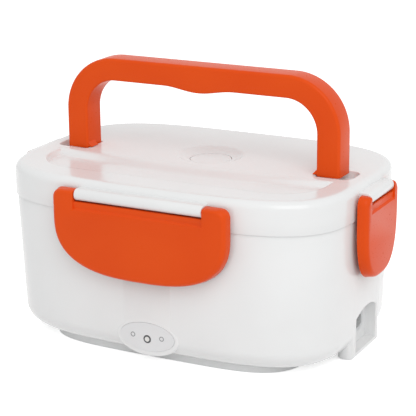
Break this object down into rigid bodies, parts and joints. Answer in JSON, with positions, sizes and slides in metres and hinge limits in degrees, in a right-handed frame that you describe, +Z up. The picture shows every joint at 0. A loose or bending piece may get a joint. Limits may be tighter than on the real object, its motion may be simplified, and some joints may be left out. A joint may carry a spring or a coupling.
{
  "type": "electric lunch box",
  "caption": "Heated lunch box: tapering rounded base with power inlet and lamp, lift-off lid held by hinged clips, finger trough and vent in the lid, fold-down carrying handle.",
  "frame": {"origin": "on the table, under the middle of the box", "axes": "+X along the long side towards the power inlet, -Y towards the front with the lamp, +Z up"},
  "size_m": [0.2358, 0.1678, 0.166],
  "materials": {
    "shell_white": "glossy moulded",
    "cover_grey": "fine texture",
    "pale_plastic": "satin",
    "orange_plastic": "glossy moulded",
    "screw_steel": "plain",
    "plate_aluminium": "die cast",
    "dark_rubber": "matte",
    "seal_rubber": "silicone",
    "insulation": "sheet",
    "dark_plastic": "fine texture",
    "socket_grey": "fine texture",
    "contact_brass": "plated",
    "lead_brown": "wire sleeve",
    "lead_white": "wire sleeve",
    "panel_grey": "printed panel",
    "lens_clear": "frosted lens"
  },
  "bodies": {
    "base": {"body_shell": "shell_white", "base_cover": "cover_grey", "cover_screws": "screw_steel", "heating_basin": "pale_plastic", "plate_gasket": "dark_rubber", "heating_plate": "plate_aluminium", "plate_screws": "screw_steel", "heating_element": "plate_aluminium", "insulation_sheet": "insulation", "element_bracket": "screw_steel", "bracket_screws": "screw_steel", "thermostat": "dark_plastic", "thermal_fuse": "lead_white", "heater_leads": "lead_white", "inlet_socket": "socket_grey", "inlet_pins": "contact_brass", "inlet_leads": "lead_brown", "lamp_panel": "panel_grey", "lamp_lens": "lens_clear", "lamp_led": "lens_clear", "lamp_leads": "lead_white", "food_tray": "pale_plastic"},
    "lid": {"lid_shell": "shell_white", "lid_liner": "pale_plastic", "lid_seal": "seal_rubber", "handle_lugs": "shell_white"},
    "vent_cap": {"vent_cap": "shell_white"},
    "handle": {"handle": "orange_plastic"},
    "clip_front": {"clip_front": "orange_plastic"},
    "clip_rear": {"clip_rear": "orange_plastic"},
    "clip_left": {"clip_left": "orange_plastic"},
    "clip_right": {"clip_right": "orange_plastic"}
  },
  "joints": [
    {"name": "lid_lift", "type": "slide", "parent": "base", "child": "lid", "axis": [0, 0, 1], "range_m": [0, 0.08]},
    {"name": "vent_lift", "type": "slide", "parent": "lid", "child": "vent_cap", "axis": [0, 0, 1], "range_m": [0, 0.0038]},
    {"name": "handle_fold", "type": "hinge", "parent": "lid", "child": "handle", "pos_m": [0, 0.0017, 0.117], "axis": [-1, 0, 0], "range_deg": [0, 90]},
    {"name": "front_clip_open", "type": "hinge", "parent": "lid", "child": "clip_front", "pos_m": [0, -0.08, 0.101], "axis": [-1, 0, 0], "range_deg": [0, 110]},
    {"name": "rear_clip_open", "type": "hinge", "parent": "lid", "child": "clip_rear", "pos_m": [0, 0.08, 0.101], "axis": [1, 0, 0], "range_deg": [0, 110]},
    {"name": "left_clip_open", "type": "hinge", "parent": "lid", "child": "clip_left", "pos_m": [-0.114, 0, 0.101], "axis": [0, 1, 0], "range_deg": [0, 110]},
    {"name": "right_clip_open", "type": "hinge", "parent": "lid", "child": "clip_right", "pos_m": [0.114, 0, 0.101], "axis": [0, -1, 0], "range_deg": [0, 110]}
  ]
}
